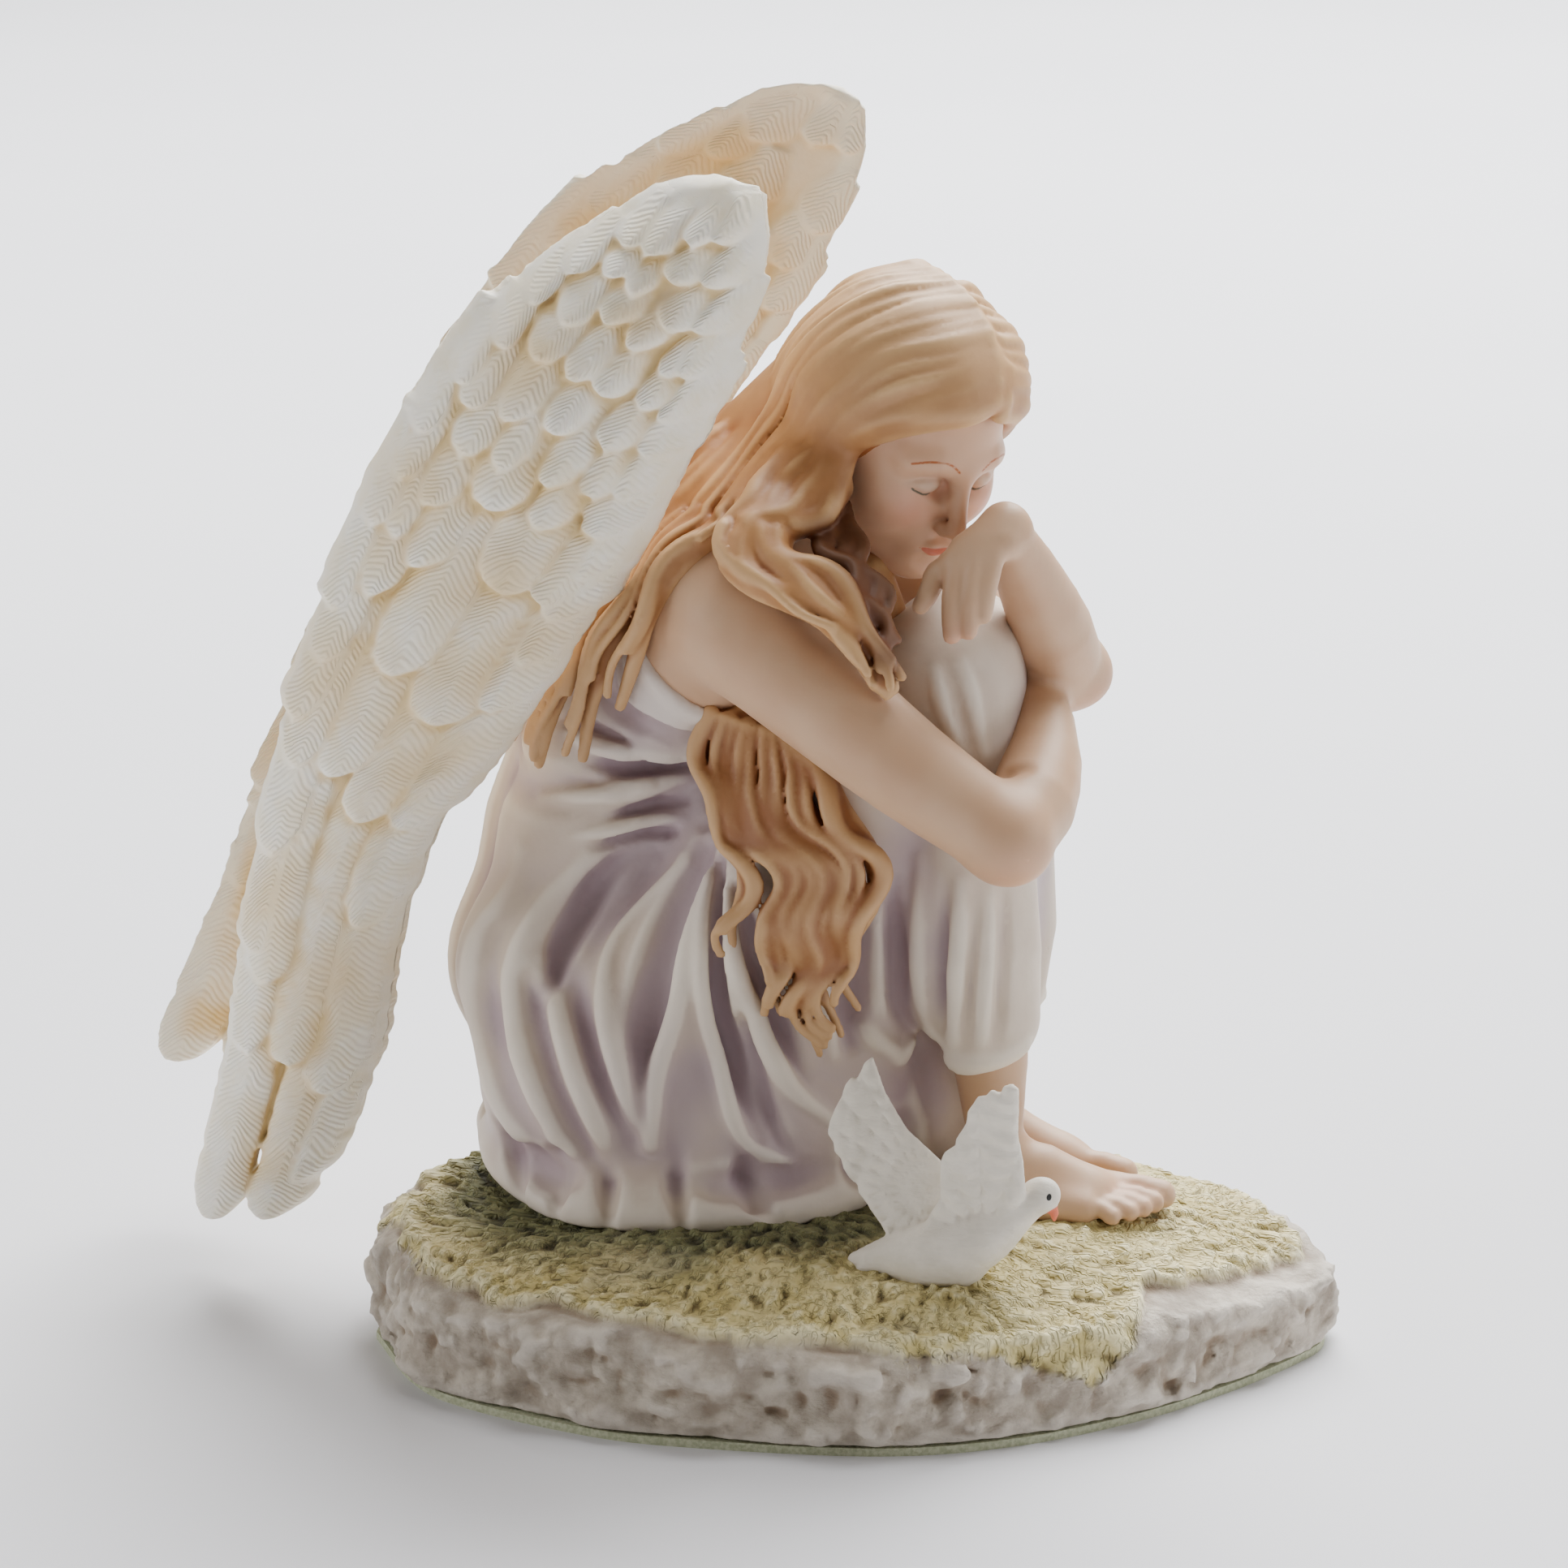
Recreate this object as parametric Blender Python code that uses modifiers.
"""Seated angel figurine, cast in resin: a girl with two wings hugs the knees on a
grassy rock, a small dove in front and a felt pad below. Metres, +Z up.
+X is the way the angel faces, -Y is the side on show, the origin is the middle of the underside.
Pose tables are in units of the figure's height / 116, with the seat at 17 units."""
import math

import bmesh
import bpy
from mathutils import Matrix, Vector

# driving dimensions
FIGURE_HEIGHT = 0.116
WING_LENGTH = 0.155
DOVE_LENGTH = 0.031
BASE_LENGTH = 0.119
BASE_DEPTH = 0.0845
BASE_THICKNESS = 0.0157
FELT_THICKNESS = 0.001
GAP = 0.0003

# sizes that follow from them
ROCK_Z = FELT_THICKNESS + GAP
SEAT_Z = ROCK_Z + BASE_THICKNESS
DOVE_SEAT_Z = SEAT_Z - 0.0025
FIGURE_UNIT = FIGURE_HEIGHT / 116.0
WING_UNIT = WING_LENGTH / 155.0
DOVE_UNIT = DOVE_LENGTH / 31.0
BASE_X = BASE_LENGTH / 119.0
BASE_Y = BASE_DEPTH / 84.5
MIDDLE = 11.0

for old in list(bpy.data.objects):
    bpy.data.objects.remove(old, do_unlink=True)
for old in list(bpy.data.collections):
    bpy.data.collections.remove(old)
shown = bpy.data.collections.new("angel_figurine")
cutters = bpy.data.collections.new("cutters")
bpy.context.scene.collection.children.link(shown)
bpy.context.scene.collection.children.link(cutters)


def paint(name, color, roughness):
    mat = bpy.data.materials.new(name)
    mat.use_nodes = True
    shader = mat.node_tree.nodes["Principled BSDF"]
    shader.inputs["Base Color"].default_value = (*color, 1.0)
    shader.inputs["Roughness"].default_value = roughness
    return mat


def at_figure(x, y, z):
    return Vector((x * FIGURE_UNIT, y * FIGURE_UNIT, SEAT_Z + (z - 17.0) * FIGURE_UNIT))


def mirrored(points):
    return [(x, 2.0 * MIDDLE - y, z, r) for x, y, z, r in points]


def add_rod(bm, points, place=at_figure, unit=FIGURE_UNIT):
    """Round bar of varying thickness through (x, y, z, radius), with rounded ends."""
    curve = bpy.data.curves.new("rod", "CURVE")
    curve.dimensions = "3D"
    curve.bevel_depth = 1.0
    curve.bevel_resolution = 2
    curve.use_fill_caps = True
    curve.resolution_u = 5
    spline = curve.splines.new("BEZIER")
    spline.bezier_points.add(len(points) - 1)
    for knot, (x, y, z, r) in zip(spline.bezier_points, points):
        knot.co = place(x, y, z)
        knot.radius = r * unit
        knot.handle_left_type = "AUTO"
        knot.handle_right_type = "AUTO"
    rod = bpy.data.objects.new("rod", curve)
    bpy.context.scene.collection.objects.link(rod)
    bpy.context.view_layer.update()
    seen = rod.evaluated_get(bpy.context.evaluated_depsgraph_get())
    bm.from_mesh(seen.to_mesh())
    seen.to_mesh_clear()
    bpy.data.objects.remove(rod, do_unlink=True)
    for x, y, z, r in (points[0], points[-1]):
        ball = Matrix.Translation(place(x, y, z))
        bmesh.ops.create_uvsphere(bm, u_segments=10, v_segments=7, radius=r * unit, matrix=ball)


def add_blob(bm, centre, radii, axes):
    """Ellipsoid with the given radii along three axes."""
    turn = Matrix(axes).transposed().to_4x4()
    size = Matrix.Diagonal((*radii, 1.0))
    where = Matrix.Translation(centre)
    bmesh.ops.create_uvsphere(bm, u_segments=16, v_segments=10, radius=1.0, matrix=where @ turn @ size)


def link(bm, name, mat, collection=shown):
    mesh = bpy.data.meshes.new(name)
    bm.to_mesh(mesh)
    bm.free()
    mesh.materials.append(mat)
    body = bpy.data.objects.new(name, mesh)
    collection.objects.link(body)
    return body


def melt(body, cell, rounds, faces):
    """One closed skin round everything in the mesh, smoothed and brought down to a face count."""
    skin = body.modifiers.new("skin", "REMESH")
    skin.mode = "VOXEL"
    skin.voxel_size = cell
    soften = body.modifiers.new("soften", "SMOOTH")
    soften.factor = 0.5
    soften.iterations = rounds
    bpy.context.view_layer.update()
    seen = body.evaluated_get(bpy.context.evaluated_depsgraph_get())
    mesh = seen.to_mesh()
    mesh.calc_loop_triangles()
    count = len(mesh.loop_triangles)
    seen.to_mesh_clear()
    thin = body.modifiers.new("thin", "DECIMATE")
    thin.ratio = min(1.0, faces / count)
    thin.use_collapse_triangulate = True


def cut(body, tool, operation="DIFFERENCE"):
    tool.hide_render = True
    tool.display_type = "WIRE"
    step = body.modifiers.new("cut", "BOOLEAN")
    step.operation = operation
    step.solver = "EXACT"
    step.object = tool


def block(name, low, high):
    bm = bmesh.new()
    middle = (Vector(low) + Vector(high)) / 2.0
    size = Vector(high) - Vector(low)
    bmesh.ops.create_cube(bm, size=1.0, matrix=Matrix.Translation(middle) @ Matrix.Diagonal((*size, 1.0)))
    return link(bm, name, tool_paint, cutters)


tool_paint = paint("tool", (0.8, 0.2, 0.2), 0.5)

# felt pad: a thin sheet cut to the rock's outline
OUTLINE = [(-58.8, -15.9), (-49.8, -29.2), (-41.6, -35.3), (-26.0, -40.2), (-12.8, -41.3),
           (11.1, -38.5), (26.2, -31.6), (38.7, -20.6), (47.5, -9.3), (54.6, 2.7), (57.4, 11.2),
           (54.0, 20.5), (45.0, 29.5), (33.0, 36.5), (17.0, 41.0), (-2.0, 42.5), (-21.0, 41.0),
           (-36.0, 36.5), (-47.0, 29.0), (-54.5, 18.0), (-58.6, 5.0), (-60.2, -6.0)]


def slab(name, outline, low, high, rim, mat, collection=shown):
    """Flat plate with the outline of a closed curve and a rounded rim."""
    curve = bpy.data.curves.new(name, "CURVE")
    curve.dimensions = "2D"
    curve.fill_mode = "BOTH"
    curve.resolution_u = 4
    curve.extrude = (high - low) / 2.0 - rim
    curve.bevel_depth = rim
    curve.bevel_resolution = 2
    curve.offset = -rim
    spline = curve.splines.new("BEZIER")
    spline.bezier_points.add(len(outline) - 1)
    spline.use_cyclic_u = True
    for knot, (x, y) in zip(spline.bezier_points, outline):
        knot.co = (x * BASE_X, y * BASE_Y, 0.0)
        knot.handle_left_type = "AUTO"
        knot.handle_right_type = "AUTO"
    body = bpy.data.objects.new(name, curve)
    bpy.context.scene.collection.objects.link(body)
    bpy.context.view_layer.update()
    seen = body.evaluated_get(bpy.context.evaluated_depsgraph_get())
    bm = bmesh.new()
    bm.from_mesh(seen.to_mesh())
    seen.to_mesh_clear()
    bpy.data.objects.remove(body, do_unlink=True)
    bmesh.ops.translate(bm, verts=bm.verts, vec=(0.0, 0.0, (high + low) / 2.0))
    bmesh.ops.remove_doubles(bm, verts=bm.verts, dist=0.00002)
    bmesh.ops.recalc_face_normals(bm, faces=bm.faces)
    return link(bm, name, mat, collection)


felt = paint("felt", (0.62, 0.66, 0.50), 0.95)
slab("felt_pad", [(x * 0.985, y * 0.985) for x, y in OUTLINE], 0.0, FELT_THICKNESS, 0.0, felt)

# rock base: an irregular slab with a grassy mound, flat where the figure and the dove stand
rock_paint = paint("painted_rock", (0.55, 0.52, 0.44), 0.8)
core = slab("core", OUTLINE, ROCK_Z - 0.003, ROCK_Z + 0.0115, 0.0025, rock_paint, cutters)
bm = bmesh.new()
bm.from_mesh(core.data)
bpy.data.objects.remove(core, do_unlink=True)
upright = ((1.0, 0.0, 0.0), (0.0, 1.0, 0.0), (0.0, 0.0, 1.0))
add_blob(bm, Vector((-0.004, 0.001, ROCK_Z + 0.003)), (58.0 * BASE_X, 41.5 * BASE_Y, BASE_THICKNESS - 0.0032),
         upright)
for x, y, z, rx, ry, rz in [(-49, -18, 10.5, 10, 10, 5.0), (-40, -29, 9, 9, 6, 6), (-18, -36, 8, 12, 5, 5.5),
                            (4, -36, 7, 12, 5, 5.5), (24, -29, 7, 9, 6, 5.5), (39, -17, 7, 9, 7, 5.5),
                            (51, 4, 7, 8, 10, 6), (-53, 6, 9, 7, 12, 5.8), (-38, 31, 9, 10, 7, 5.8),
                            (0, 37, 8, 20, 6, 5.5), (38, 27, 7, 10, 7, 5.5)]:
    spot = Vector((x * BASE_X, y * BASE_Y, ROCK_Z + z * 0.001))
    add_blob(bm, spot, (rx * 0.001, ry * 0.001, rz * 0.001), upright)
for x, y, r in [(-30, 11, 19), (-12, 11, 19), (8, 9, 16), (22, 9, 13), (31, 8, 9)]:
    spot = Vector((x * 0.001, y * 0.001, SEAT_Z - 0.0045))
    add_blob(bm, spot, (r * 0.00125, r * 0.00125, 0.0060), upright)
add_blob(bm, Vector((0.015, -0.020, DOVE_SEAT_Z - 0.004)), (0.011, 0.009, 0.0055), upright)
rock = link(bm, "rock_base", rock_paint)
melt(rock, 0.0011, 2, 1500)
lumps = bpy.data.textures.new("lumps", "CLOUDS")
lumps.noise_scale = 0.009
rough = rock.modifiers.new("rough", "DISPLACE")
rough.texture = lumps
rough.texture_coords = "GLOBAL"
rough.strength = 0.0024
rough.mid_level = 0.5
rock.modifiers.move(3, 2)
cut(rock, block("under_rock", (-0.1, -0.1, -0.02), (0.1, 0.1, ROCK_Z)))
cut(rock, block("over_rock", (-0.1, -0.1, SEAT_Z), (0.1, 0.1, SEAT_Z + 0.03)))
bm = bmesh.new()
pit = Matrix.Translation((0.0147, -0.0200, DOVE_SEAT_Z + 0.01))
bmesh.ops.create_cone(bm, cap_ends=True, segments=28, radius1=0.0056, radius2=0.0100, depth=0.02, matrix=pit)
cut(rock, link(bm, "dove_seat", tool_paint, cutters))

# right wing, on the side on show: a curved sheet with a thick front edge and rows of feathers
# rows: back edge x, z; front edge x, z; y of the edges; outward bulge
STATIONS = [(-14.8, 146.8, -9.5, 145.6, -11.0, 1.5), (-24.4, 143.8, -7.6, 138.8, -11.0, 3.0),
            (-42.2, 128.4, -14.1, 120.5, -11.0, 4.5), (-57.0, 107.5, -23.8, 102.8, -10.0, 4.5),
            (-70.7, 78.7, -38.2, 80.1, -8.5, 4.0), (-76.4, 54.3, -53.3, 61.0, -6.0, 3.0),
            (-81.4, 31.5, -62.6, 33.0, -2.5, 2.0), (-88.0, 8.5, -71.5, 10.0, 1.0, 1.0)]
WING_ROOT = (-25.0, 1.0, 99.0)


def at_wing(x, y, z):
    root = at_figure(*WING_ROOT)
    return root + (Vector((x, y, z)) - Vector(WING_ROOT)) * WING_UNIT


def wing_point(along, across, out=0.0):
    """Point of the sheet: along 0 at the top to 1 at the tip, across -1 back edge to 1 front edge."""
    place = min(max(along, 0.0), 1.0) * (len(STATIONS) - 1)
    low = min(int(place), len(STATIONS) - 2)
    part = place - low
    x0, z0, x1, z1, edge, bulge = [a + (b - a) * part for a, b in zip(STATIONS[low], STATIONS[low + 1])]
    part = (across + 1.0) / 2.0
    y = edge - bulge * (1.0 - across * across) - out
    return Vector((x0 + (x1 - x0) * part, y, z0 + (z1 - z0) * part))


def add_feather(bm, along, across, length, width, lift, inside=False):
    centre = wing_point(along, across)
    down = (wing_point(along + 0.05, across * 0.97) - wing_point(along - 0.05, across)).normalized()
    side = (wing_point(along, across + 0.1) - wing_point(along, across - 0.1)).normalized()
    out = side.cross(down).normalized()
    if out.y > 0.0:
        out = -out
    if inside:
        out = -out
    down = (down + out * 0.10).normalized()
    side = (side - down * side.dot(down)).normalized()
    out = down.cross(side)
    spot = at_wing(*(centre + (out if (out.y < 0.0) != inside else -out) * lift))
    radii = (width * WING_UNIT / 2.0, length * WING_UNIT / 2.0, 1.25 * WING_UNIT)
    add_blob(bm, spot, radii, (side, down, out))


def wing_body(name, mat):
    bm = bmesh.new()
    grid = bmesh.new()
    rows = []
    for i in range(25):
        rows.append([grid.verts.new(at_wing(*wing_point(i / 25.0 + 0.01, j / 4.0 - 1.0))) for j in range(9)])
    for upper, lower in zip(rows, rows[1:]):
        for j in range(8):
            grid.faces.new((upper[j], upper[j + 1], lower[j + 1], lower[j]))
    sheet = link(grid, "sheet", mat, cutters)
    solid = sheet.modifiers.new("thick", "SOLIDIFY")
    solid.thickness = 0.0026 * WING_LENGTH / 0.155
    solid.offset = 0.0
    bpy.context.view_layer.update()
    seen = sheet.evaluated_get(bpy.context.evaluated_depsgraph_get())
    bm.from_mesh(seen.to_mesh())
    seen.to_mesh_clear()
    bpy.data.objects.remove(sheet, do_unlink=True)
    front = [(*wing_point(s, 0.97), r) for s, r in [(0.0, 2.0), (0.1, 3.2), (0.22, 3.0), (0.36, 2.4), (0.5, 1.7)]]
    add_rod(bm, front, at_wing, WING_UNIT)
    crown = [(*wing_point(0.02, a), r) for a, r in [(-1.0, 2.2), (0.0, 3.0), (0.9, 2.4)]]
    add_rod(bm, crown, at_wing, WING_UNIT)
    rows = [(0.07, 4, 7, 5.5), (0.13, 5, 8, 6.0), (0.19, 5, 9, 6.5), (0.25, 5, 10, 7.0), (0.31, 5, 11, 7.5),
            (0.37, 5, 13, 8.0), (0.44, 5, 16, 8.5), (0.52, 4, 20, 9.0), (0.61, 4, 24, 9.0), (0.70, 3, 30, 9.0),
            (0.80, 3, 36, 8.5), (0.895, 2, 34, 8.5)]
    for k, (along, count, length, width) in enumerate(rows):
        for j in range(count):
            across = (2.0 * (j + 0.5 + 0.25 * (-1) ** k) / count - 1.0) * 0.92
            add_feather(bm, along + 0.012 * math.sin(2.3 * j + k), across, length, width, 1.6)
            if k % 2 == 1:
                add_feather(bm, along + 0.02, across, length * 1.2, width, 1.2, inside=True)
    return bm


ROOT_STUB = [(-25.0, 1.0, 99.0, 5.0), (-26.5, -5.0, 102.0, 6.0), (-27.0, -10.5, 104.0, 6.5)]
SOCKET = [(x, y, z, r + GAP / FIGURE_UNIT) for x, y, z, r in ROOT_STUB]
wing_paint = paint("painted_wing", (0.86, 0.84, 0.78), 0.6)
bm = wing_body("right_wing", wing_paint)
add_rod(bm, ROOT_STUB, at_wing, WING_UNIT)
sway = Matrix.Rotation(math.radians(6.0), 4, "Y")
flip = Matrix.Scale(-1.0, 4, (0.0, 1.0, 0.0))
centre = at_figure(-24.0, MIDDLE, 100.0)
shift = Vector((-3.0, 0.0, 6.0)) * FIGURE_UNIT
far = Matrix.Translation(centre + shift) @ sway @ flip @ Matrix.Translation(-centre)
other = bm.copy()
bmesh.ops.transform(other, matrix=far, verts=other.verts)
bmesh.ops.reverse_faces(other, faces=other.faces)
right_wing = link(bm, "right_wing", wing_paint)
melt(right_wing, 0.0008, 2, 1700)

# left wing: its mirror image, swept back and raised a little
far_paint = paint("painted_far_wing", (0.86, 0.83, 0.74), 0.6)
left_wing = link(other, "left_wing", far_paint)
melt(left_wing, 0.0008, 2, 1700)

# figure: body, dress, limbs, head and hair cast in one
BODY = [[(-33, 1, 32, 16.2), (-33, 21, 32, 16.2)], [(-40, 5, 44, 13.6), (-40, 17, 44, 13.6)],
        [(-38, 11, 46, 15), (-36.5, 11, 60, 13.8), (-31, 11, 76, 14), (-23, 11, 90, 12)],
        [(-22, 3, 86, 12), (-20, 19, 88, 12)], [(-16, 11, 60, 14), (-4, 11, 78, 11)],
        [(-12, 12, 90, 7), (2, 13, 88, 6.5), (9, 12, 86, 6)],
        [(-13, 10, 98, 6.5), (-5, 9, 106, 5.2), (-1, 8, 110, 5.2)],
        [(-15.5, -6, 92, 7.5), (-18, 2, 96, 7), (-17, 20, 98, 7), (-12.5, 28, 96, 7.5)]]
LEGS = [[(-28, 1, 36, 13.5), (-8, 2, 60, 11.5), (8.5, 4, 83.5, 8.6)],
        [(-28, 22, 36, 13.5), (-9, 20, 60, 11.5), (8, 17, 82.5, 8.6)],
        [(10.5, 4, 86, 7.8), (12, 4, 70, 8.0), (13.6, 3.5, 50, 8.2), (14.4, 3.4, 40, 7.2)],
        [(9.5, 17, 84.5, 7.8), (12, 17, 70, 8.0), (12.8, 17, 50, 8.2), (12.4, 17, 40, 7.2)],
        [(15, 3.4, 44, 4.6), (16, 3, 27, 3.8)], [(12, 17, 44, 4.6), (12, 17, 27, 3.8)]]
FEET = [[(11, 4, 21, 4.2), (17, 3, 23.5, 5), (25, 4, 20.5, 4.2), (31, 5, 18.8, 3.2), (36, 7, 18.2, 1.8)],
        [(6, 17, 21, 4.2), (12, 17, 23.5, 5), (20, 17, 20.5, 4.2), (26, 17.5, 18.8, 3.2)]]
SKIRT = [[(-33, 1, 27, 12), (-18, 0.5, 27, 12), (-6, 4, 27, 10)], [(-14, 1, 48, 11), (-10, 2, 30, 11)],
         [(-2, 4, 60, 8.5), (-3, 4.5, 30, 8.5)],
         [(3, 5, 66, 7.5), (4, 5, 44, 7)], [(-32, 3, 19, 10.5), (-18, 0.5, 19, 11.0), (-6, 4, 19, 8.5)]]
ARMS = [[(-14.5, -8, 91.5, 7.2), (-4, -11, 85, 6.6), (8, -12.5, 77, 6.0), (20, -12, 69, 5.2)],
        [(20, -11.5, 68.5, 5.4), (21.5, -2, 72, 5.0), (20.5, 8, 76, 4.3), (18, 16, 79, 3.5)],
        [(-12, 29, 96, 7), (1, 29, 91, 6.2), (11, 26, 86, 5.6), (20, 21.5, 82, 5.2)],
        [(20, 20.5, 81.5, 5.3), (20, 13, 89, 5.0), (18.5, 4, 98, 3.9), (17.5, -1.5, 103, 3.3)],
        [(17.5, -1.5, 103.3, 3.2), (15.8, -4.8, 100, 3.3), (14.2, -6.4, 96.5, 2.6)]]
FINGERS = [[(14.0, -7.6, 98.0, 1.5), (11.0, -9.0, 95.0, 1.2)], [(14.8, -7.8, 97.0, 1.5), (12.6, -9.4, 91.5, 1.2)],
           [(15.8, -7.2, 96.5, 1.5), (14.8, -8.6, 91.0, 1.2)], [(17.0, -6.2, 96.5, 1.4), (17.0, -7.2, 92.5, 1.1)]]
FOLDS = [[(-18.1, -6, 63.7, 1.6), (-19.9, -11.5, 53.7, 2.4), (-21.9, -13.6, 40.8, 2.6), (-23.6, -13.0, 22, 2.4)],
         [(-15.9, -8.4, 62.6, 1.6), (-12.1, -11.6, 49.4, 2.3), (-8.9, -10.6, 31.7, 2.4), (-8.0, -8.5, 20, 2.2)],
         [(-13.4, -10, 61.1, 1.4), (-8.0, -9.8, 44.0, 2.0), (-1.7, -6.6, 31.1, 2.2), (0, -4.0, 20, 2.0)],
         [(-28.4, -2, 59.9, 1.6), (-33.3, -7.5, 48.5, 2.4), (-34.4, -14.8, 36.2, 2.4), (-31, -13.0, 22, 2.2)],
         [(-37.0, -4.4, 60.0, 1.6), (-41.2, -8.6, 48.4, 2.3), (-41.8, -12.4, 35.0, 2.4), (-37, -11.0, 22, 2.0)],
         [(-45.1, -1.8, 56.7, 1.5), (-47.6, -6.9, 45.5, 2.2), (-45.6, -9.6, 33.0, 2.2), (-42, -6.0, 21, 2.0)],
         [(-42.2, -0.4, 72.0, 1.4), (-30.9, -3.9, 70.0, 1.6), (-20.5, -4.0, 72.8, 1.4)],
         [(-44.2, -0.8, 65.8, 1.4), (-32.0, -3.8, 63.8, 1.6), (-20.5, -5.0, 66.5, 1.4)],
         [(5.8, -2.2, 66.3, 1.3), (6.8, -2.4, 52, 1.6), (7.5, -2.0, 38.5, 1.4)],
         [(12.8, -4.2, 62.3, 1.3), (14.1, -5.0, 49.5, 1.5), (14.7, -3.4, 38.0, 1.4)],
         [(8.0, -2.0, 36.0, 1.6), (15.5, -4.0, 35.0, 1.7), (20.8, 0.5, 36.5, 1.6)],
         [(5.4, -1.8, 90.5, 1.0), (12.6, -4.6, 82.0, 1.3), (14.6, -4.4, 73.0, 1.1)]]
LOCKS = [[(-1.0, -6.6, 125.0, 2.6), (-5.6, -6.8, 116.0, 3.0), (-12.0, -9.0, 104.6, 3.0), (-13.6, -13.0, 99.6, 2.8),
          (-8.6, -16.0, 94.4, 2.5), (-2.6, -16.8, 92.0, 2.2), (0.6, -16.4, 88.5, 1.4)],
         [(2.6, -7.0, 121.0, 2.2), (-1.6, -8.0, 108.0, 2.4), (-5.4, -10.2, 100.5, 2.4), (-0.6, -12.0, 96.0, 2.2),
          (4.0, -13.0, 91.5, 2.0), (7.5, -15.5, 85.0, 1.3)],
         [(-8.5, -0.6, 126.0, 4.2), (-14.0, 1.5, 113.5, 4.2), (-18.5, 2.0, 106.0, 4.0), (-24.0, 1.0, 100.5, 3.4),
          (-30.0, -2.0, 91.0, 2.8), (-34.6, -3.6, 79.5, 2.4), (-37.0, -2.6, 73.0, 1.4)],
         [(-14.0, 6.0, 118.0, 4.6), (-21.0, 8.0, 106.0, 4.2), (-29.5, 8.0, 97.0, 3.4), (-38.0, 8.0, 84.0, 2.8),
          (-44.0, 8.0, 73.0, 1.6)],
         [(-14.0, 14.0, 118.0, 4.4), (-20.0, 15.0, 106.0, 4.0), (-28.5, 15.0, 97.0, 3.2), (-36.0, 17.0, 86.0, 2.6),
          (-41.0, 18.0, 75.0, 1.5)],
         [(-5.0, 20.5, 122.0, 3.6), (-9.0, 24.0, 110.0, 3.4), (-10.0, 30.0, 101.5, 3.0), (-4.0, 35.0, 95.0, 2.6),
          (1.0, 35.0, 89.0, 1.6)],
         [(4.0, 20.5, 123.0, 3.0), (2.0, 20.0, 110.0, 3.0), (-1.0, 22.0, 101.0, 2.6), (0.0, 26.0, 97.0, 2.0)],
         [(8.0, 13.0, 128.4, 3.0), (12.0, 15.0, 124.2, 3.2), (13.8, 15.5, 118.6, 3.2), (12.4, 15.5, 113.6, 2.8)],
         [(-15.4, -6.6, 79.0, 3.4), (-14.0, -8.6, 72.4, 3.6), (-10.4, -10.4, 66.6, 3.8), (-6.0, -12.0, 61.0, 3.6),
          (-4.0, -11.6, 52.8, 3.2), (-5.4, -10.6, 45.9, 2.6), (-2.4, -9.6, 38.0, 1.3)],
         [(-8.4, -8.0, 76.0, 3.4), (-5.0, -10.0, 70.4, 3.4), (-0.4, -10.4, 65.0, 3.2), (1.2, -9.4, 58.5, 2.8),
          (-1.4, -9.6, 52.0, 2.4), (-1.8, -8.6, 45.0, 1.4)]]
FORWARD = Vector((0.778, -0.380, -0.500))
LEFTWARD = Vector((0.4386, 0.898, 0.0))
UPWARD = Vector((0.449, -0.219, 0.866))
HEAD = Vector((4.0, 7.0, 115.0))


def in_head(forward, left, up):
    return HEAD + FORWARD * forward + LEFTWARD * left + UPWARD * up


bm = bmesh.new()
for points in BODY + LEGS + FEET + ARMS + FINGERS + LOCKS:
    add_rod(bm, points)
FOLDS = [[(x, y + 1.0, z, r * 1.35) for x, y, z, r in points] for points in FOLDS]
for points in FOLDS:
    add_rod(bm, points)
for points in SKIRT + FOLDS[:8]:
    add_rod(bm, points if points in SKIRT else mirrored(points))
for points in SKIRT:
    add_rod(bm, mirrored(points))
add_rod(bm, mirrored(LOCKS[8]))
turned = (FORWARD, LEFTWARD, UPWARD)
for forward, left, up, rf, rl, ru in [(-1.0, 0, 2.0, 12.6, 10.4, 12.4), (3.2, 0, -5.5, 8.8, 8.4, 11.0),
                                      (-4.2, 0, 3.0, 13.6, 13.4, 14.2)]:
    radii = (rf * FIGURE_UNIT, rl * FIGURE_UNIT, ru * FIGURE_UNIT)
    add_blob(bm, at_figure(*in_head(forward, left, up)), radii, turned)
for path in [[(12.0, 0, -1.5, 0.9), (14.0, 0, -6.6, 1.5)], [(11.0, 0, -12.0, 1.4), (10.2, 0, -15.0, 2.2)],
             [(10.6, 3.2, 1.4, 1.0), (10.0, 6.4, 0.6, 1.0)], [(10.6, -3.2, 1.4, 1.0), (10.0, -6.4, 0.6, 1.0)]]:
    add_rod(bm, [(*in_head(f, l, u), r) for f, l, u, r in path])
for side in (-1.0, 1.0):
    for start, low, rear in [(8.5, 8.0, 3.0), (5.5, 9.8, 0.0), (2.0, 11.2, -4.0), (-2.0, 12.0, -8.0)]:
        path = [(start, 0.6 * side, 12.2 + 0.3 * (8.5 - start), 2.0), (start - 1.0, low * 0.7 * side, 9.6, 2.5),
                (start - 3.0, (low + 0.6) * side, 2.0, 2.8), (rear - 3.0, low * side, -7.0, 2.8)]
        add_rod(bm, [(*in_head(f, l, u), r) for f, l, u, r in path])
skin_paint = paint("painted_figure", (0.72, 0.62, 0.56), 0.55)
figure = link(bm, "angel_figure", skin_paint)
melt(figure, 0.0007, 3, 4200)
cut(figure, block("under_figure", (-0.1, -0.1, -0.02), (0.1, 0.1, SEAT_Z + GAP)))
bm = bmesh.new()
add_rod(bm, SOCKET)
socket = link(bm, "right_socket", tool_paint, cutters)
melt(socket, 0.0008, 0, 500)
cut(figure, socket)
bm = bmesh.new()
add_rod(bm, SOCKET)
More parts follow.
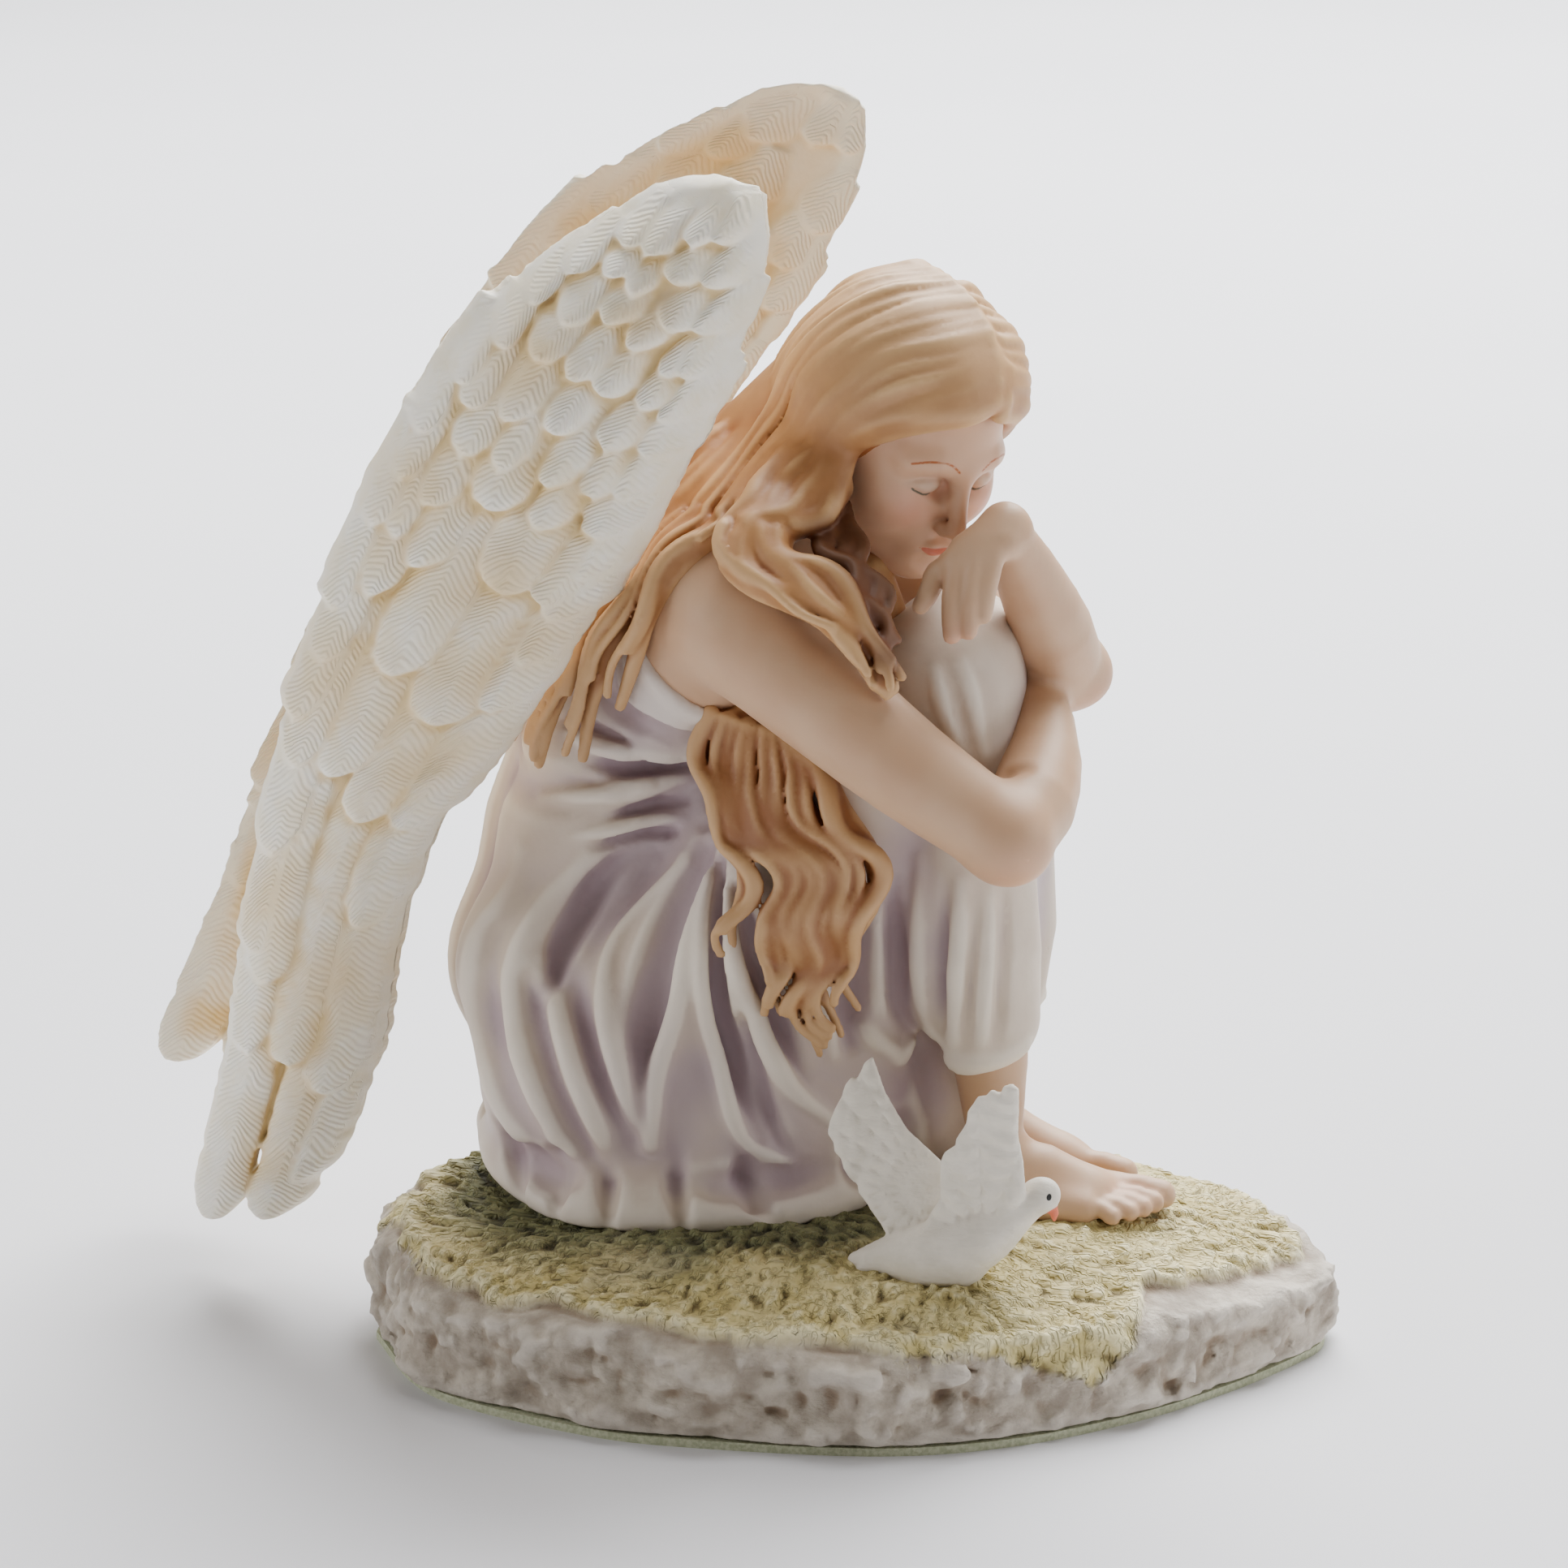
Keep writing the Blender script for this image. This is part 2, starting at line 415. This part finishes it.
bmesh.ops.transform(bm, matrix=far, verts=bm.verts)
bmesh.ops.reverse_faces(bm, faces=bm.faces)
socket = link(bm, "left_socket", tool_paint, cutters)
melt(socket, 0.0008, 0, 500)
cut(figure, socket)

# dove: body, fanned tail and two raised wings
DOVE_SPOT = Vector((15.0, -20.0, 15.0))


def at_dove(x, y, z):
    spot = Vector((DOVE_SPOT.x * FIGURE_UNIT, DOVE_SPOT.y * FIGURE_UNIT, DOVE_SEAT_Z + GAP))
    return spot + (Vector((x, y, z)) - DOVE_SPOT) * DOVE_UNIT


def add_blade(bm, tip, root, width, thick, normal):
    a = Vector(root)
    b = Vector(tip)
    along = (b - a).normalized()
    side = Vector(normal).cross(along).normalized()
    out = along.cross(side)
    radii = (width * DOVE_UNIT / 2.0, (b - a).length * DOVE_UNIT / 2.0, thick * DOVE_UNIT / 2.0)
    add_blob(bm, at_dove(*((a + b) / 2.0)), radii, (side, along, out))


bm = bmesh.new()
add_rod(bm, [(8.0, -20, 18.0, 2.2), (13.0, -20, 18.6, 4.4), (18.0, -20, 20.6, 4.3), (22.5, -20, 23.6, 2.9),
             (26.0, -20, 26.8, 2.4)], at_dove, DOVE_UNIT)
add_rod(bm, [(27.2, -20.6, 26.4, 1.0), (28.4, -20.9, 24.9, 0.6)], at_dove, DOVE_UNIT)
for turn in (-2.2, 0.0, 2.2):
    add_blade(bm, (-1.2, -20 + turn, 16.2), (10.0, -20 + turn * 0.3, 17.6), 3.4, 1.8, (0, 0, 1))
for tip, width in [((22.4, -24.5, 40.4), 3.6), ((20.0, -25.0, 37.0), 3.6), ((17.4, -25.0, 34.0), 3.4),
                   ((15.4, -24.5, 31.0), 3.2)]:
    add_blade(bm, tip, (18.4, -20.6, 22.0), width + 2.0, 2.0, (0.3, 1, 0.2))
for tip, width in [((6.6, -15.0, 42.0), 3.6), ((2.6, -14.5, 38.0), 3.4), ((0.8, -14.5, 33.6), 3.4),
                   ((1.6, -15.0, 29.4), 3.2), ((4.4, -15.5, 25.6), 3.2)]:
    add_blade(bm, tip, (15.5, -19.2, 21.5), width + 1.0, 2.0, (0.3, 1, 0.2))
add_rod(bm, [(14.7, -20, 16.8, 3.6), (14.7, -20, 15.2, 3.4)], at_dove, DOVE_UNIT)
dove_paint = paint("painted_dove", (0.85, 0.84, 0.84), 0.55)
dove = link(bm, "dove", dove_paint)
melt(dove, 0.0005, 1, 900)
cut(dove, block("under_dove", (-0.1, -0.1, -0.02), (0.1, 0.1, DOVE_SEAT_Z + GAP)))
